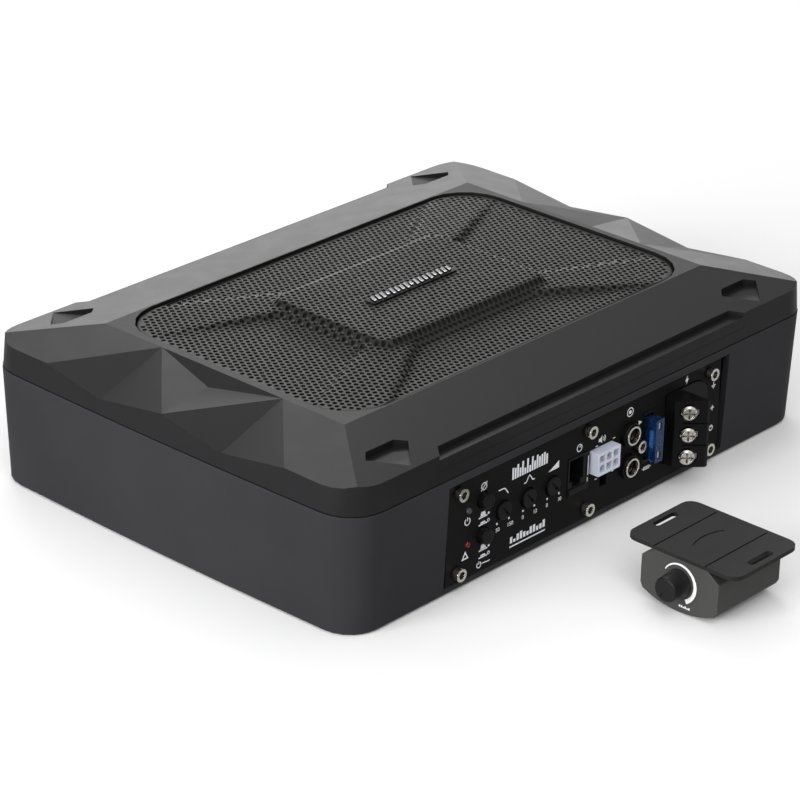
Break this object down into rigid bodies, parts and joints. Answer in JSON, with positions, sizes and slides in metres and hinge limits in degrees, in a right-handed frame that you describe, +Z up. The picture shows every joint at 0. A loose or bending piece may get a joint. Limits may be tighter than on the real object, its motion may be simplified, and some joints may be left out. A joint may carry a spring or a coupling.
{
  "type": "powered car subwoofer",
  "caption": "Flat under-seat bass box with an oval woofer behind an embossed grille, a built-in amplifier with its control panel, and a wired level remote.",
  "frame": {"origin": "middle of the tub's flat underside, on the ground", "axes": "+X along the long side of the box, +Z up towards the grille, -Y is the way the control panel faces"},
  "size_m": [0.284, 0.2975, 0.0731],
  "materials": {
    "casing_paint": "satin charcoal paint",
    "black_plastic": "fine moulded texture",
    "foam_rubber": "closed-cell foam",
    "grille_metal": "satin grey coat",
    "chrome_trim": "polished",
    "basket_paint": "satin",
    "surround_rubber": "matte",
    "cone_paper": "pressed pulp",
    "copper_wire": "enamelled copper winding",
    "spider_cloth": "resin-set cloth",
    "zinc_steel": "zinc plated",
    "ferrite": "sintered",
    "panel_paint": "satin black",
    "cast_aluminium": "cast",
    "circuit_board": "solder mask",
    "nickel_plate": "nickel plated",
    "white_plastic": "satin nylon",
    "blue_plastic": "tinted, part clear",
    "red_lens": "tinted epoxy",
    "clear_lens": "clear epoxy",
    "remote_plastic": "fine moulded texture"
  },
  "bodies": {
    "casing": {"tub": "casing_paint", "lid": "black_plastic", "lid_gasket": "foam_rubber", "grille": "grille_metal", "grille_badge": "chrome_trim", "woofer_basket": "basket_paint", "woofer_gasket": "foam_rubber", "surround": "surround_rubber", "spider": "spider_cloth", "top_plate": "zinc_steel", "yoke": "zinc_steel", "magnet": "ferrite", "control_panel": "panel_paint", "amp_chassis": "cast_aluminium", "amp_board": "circuit_board", "capacitor_1": "black_plastic", "capacitor_2": "black_plastic", "rca_block": "black_plastic", "rca_sleeve_right": "nickel_plate", "rca_sleeve_left": "nickel_plate", "high_level_socket": "white_plastic", "remote_socket": "black_plastic", "fuse_holder": "black_plastic", "terminal_block": "black_plastic", "power_led": "clear_lens", "protect_led": "red_lens", "panel_screw_1": "nickel_plate", "panel_screw_2": "nickel_plate", "panel_screw_3": "nickel_plate", "panel_screw_4": "nickel_plate", "panel_screw_5": "nickel_plate", "panel_screw_6": "nickel_plate", "panel_screw_7": "nickel_plate", "lid_screw_1": "zinc_steel", "lid_screw_2": "zinc_steel", "lid_screw_3": "zinc_steel", "lid_screw_4": "zinc_steel", "woofer_screw_1": "zinc_steel", "woofer_screw_2": "zinc_steel", "woofer_screw_3": "zinc_steel", "woofer_screw_4": "zinc_steel"},
    "cone_assembly": {"cone": "cone_paper", "dust_cap": "cone_paper", "voice_coil": "copper_wire"},
    "low_pass_trimmer": {"low_pass_trimmer": "black_plastic"},
    "bass_boost_trimmer": {"bass_boost_trimmer": "black_plastic"},
    "level_trimmer": {"level_trimmer": "black_plastic"},
    "phase_button": {"phase_button": "black_plastic"},
    "auto_on_button": {"auto_on_button": "black_plastic"},
    "fuse": {"fuse": "blue_plastic"},
    "clamp_1": {"clamp_plate_1": "nickel_plate"},
    "clamp_2": {"clamp_plate_2": "nickel_plate"},
    "clamp_3": {"clamp_plate_3": "nickel_plate"},
    "terminal_screw_1": {"terminal_screw_1": "nickel_plate"},
    "terminal_screw_2": {"terminal_screw_2": "nickel_plate"},
    "terminal_screw_3": {"terminal_screw_3": "nickel_plate"},
    "remote": {"remote_housing": "remote_plastic", "remote_bracket": "remote_plastic", "remote_pot": "zinc_steel"},
    "remote_knob": {"remote_knob": "remote_plastic"}
  },
  "joints": [
    {"name": "cone_travel", "type": "slide", "parent": "casing", "child": "cone_assembly", "axis": [0, 0, 1], "range_m": [-0.005, 0.005], "deforming": ["surround", "spider"]},
    {"name": "low_pass_turn", "type": "hinge", "parent": "casing", "child": "low_pass_trimmer", "pos_m": [-0.0552, -0.0995, 0.0256], "axis": [0, -1, 0], "range_deg": [0, 280]},
    {"name": "bass_boost_turn", "type": "hinge", "parent": "casing", "child": "bass_boost_trimmer", "pos_m": [-0.0405, -0.0995, 0.0256], "axis": [0, -1, 0], "range_deg": [0, 280]},
    {"name": "level_turn", "type": "hinge", "parent": "casing", "child": "level_trimmer", "pos_m": [-0.026, -0.0995, 0.0256], "axis": [0, -1, 0], "range_deg": [0, 280]},
    {"name": "phase_press", "type": "slide", "parent": "casing", "child": "phase_button", "axis": [0, 1, 0], "range_m": [0, 0.0025]},
    {"name": "auto_on_press", "type": "slide", "parent": "casing", "child": "auto_on_button", "axis": [0, 1, 0], "range_m": [0, 0.0025]},
    {"name": "fuse_pull", "type": "slide", "parent": "casing", "child": "fuse", "axis": [0, -1, 0], "range_m": [0, 0.02]},
    {"name": "clamp_1_slide", "type": "slide", "parent": "casing", "child": "clamp_1", "axis": [-0.7071, -0.7071, 0], "range_m": [0, 0.00179]},
    {"name": "terminal_screw_1_turn", "type": "hinge", "parent": "clamp_1", "child": "terminal_screw_1", "pos_m": [0.04843, -0.10823, 0.0347], "axis": [-0.7071, -0.7071, 0], "range_deg": [0, 1080]},
    {"name": "clamp_2_slide", "type": "slide", "parent": "casing", "child": "clamp_2", "axis": [-0.7071, -0.7071, 0], "range_m": [0, 0.00179]},
    {"name": "terminal_screw_2_turn", "type": "hinge", "parent": "clamp_2", "child": "terminal_screw_2", "pos_m": [0.04843, -0.10823, 0.0249], "axis": [-0.7071, -0.7071, 0], "range_deg": [0, 1080]},
    {"name": "clamp_3_slide", "type": "slide", "parent": "casing", "child": "clamp_3", "axis": [-0.7071, -0.7071, 0], "range_m": [0, 0.00179]},
    {"name": "terminal_screw_3_turn", "type": "hinge", "parent": "clamp_3", "child": "terminal_screw_3", "pos_m": [0.04843, -0.10823, 0.0151], "axis": [-0.7071, -0.7071, 0], "range_deg": [0, 1080]},
    {"name": "remote_place", "type": "slide", "parent": "casing", "child": "remote", "axis": [0, -1, 0], "range_m": [0, 0.1]},
    {"name": "remote_knob_turn", "type": "hinge", "parent": "remote", "child": "remote_knob", "pos_m": [-0.034, -0.1698, 0.0124], "axis": [-1, 0, 0], "range_deg": [-300, 0]}
  ],
  "couplings": [
    {"joint": "terminal_screw_1_turn", "follows": "clamp_1_slide", "rad_per_m": 10472},
    {"joint": "terminal_screw_2_turn", "follows": "clamp_2_slide", "rad_per_m": 10472},
    {"joint": "terminal_screw_3_turn", "follows": "clamp_3_slide", "rad_per_m": 10472}
  ]
}
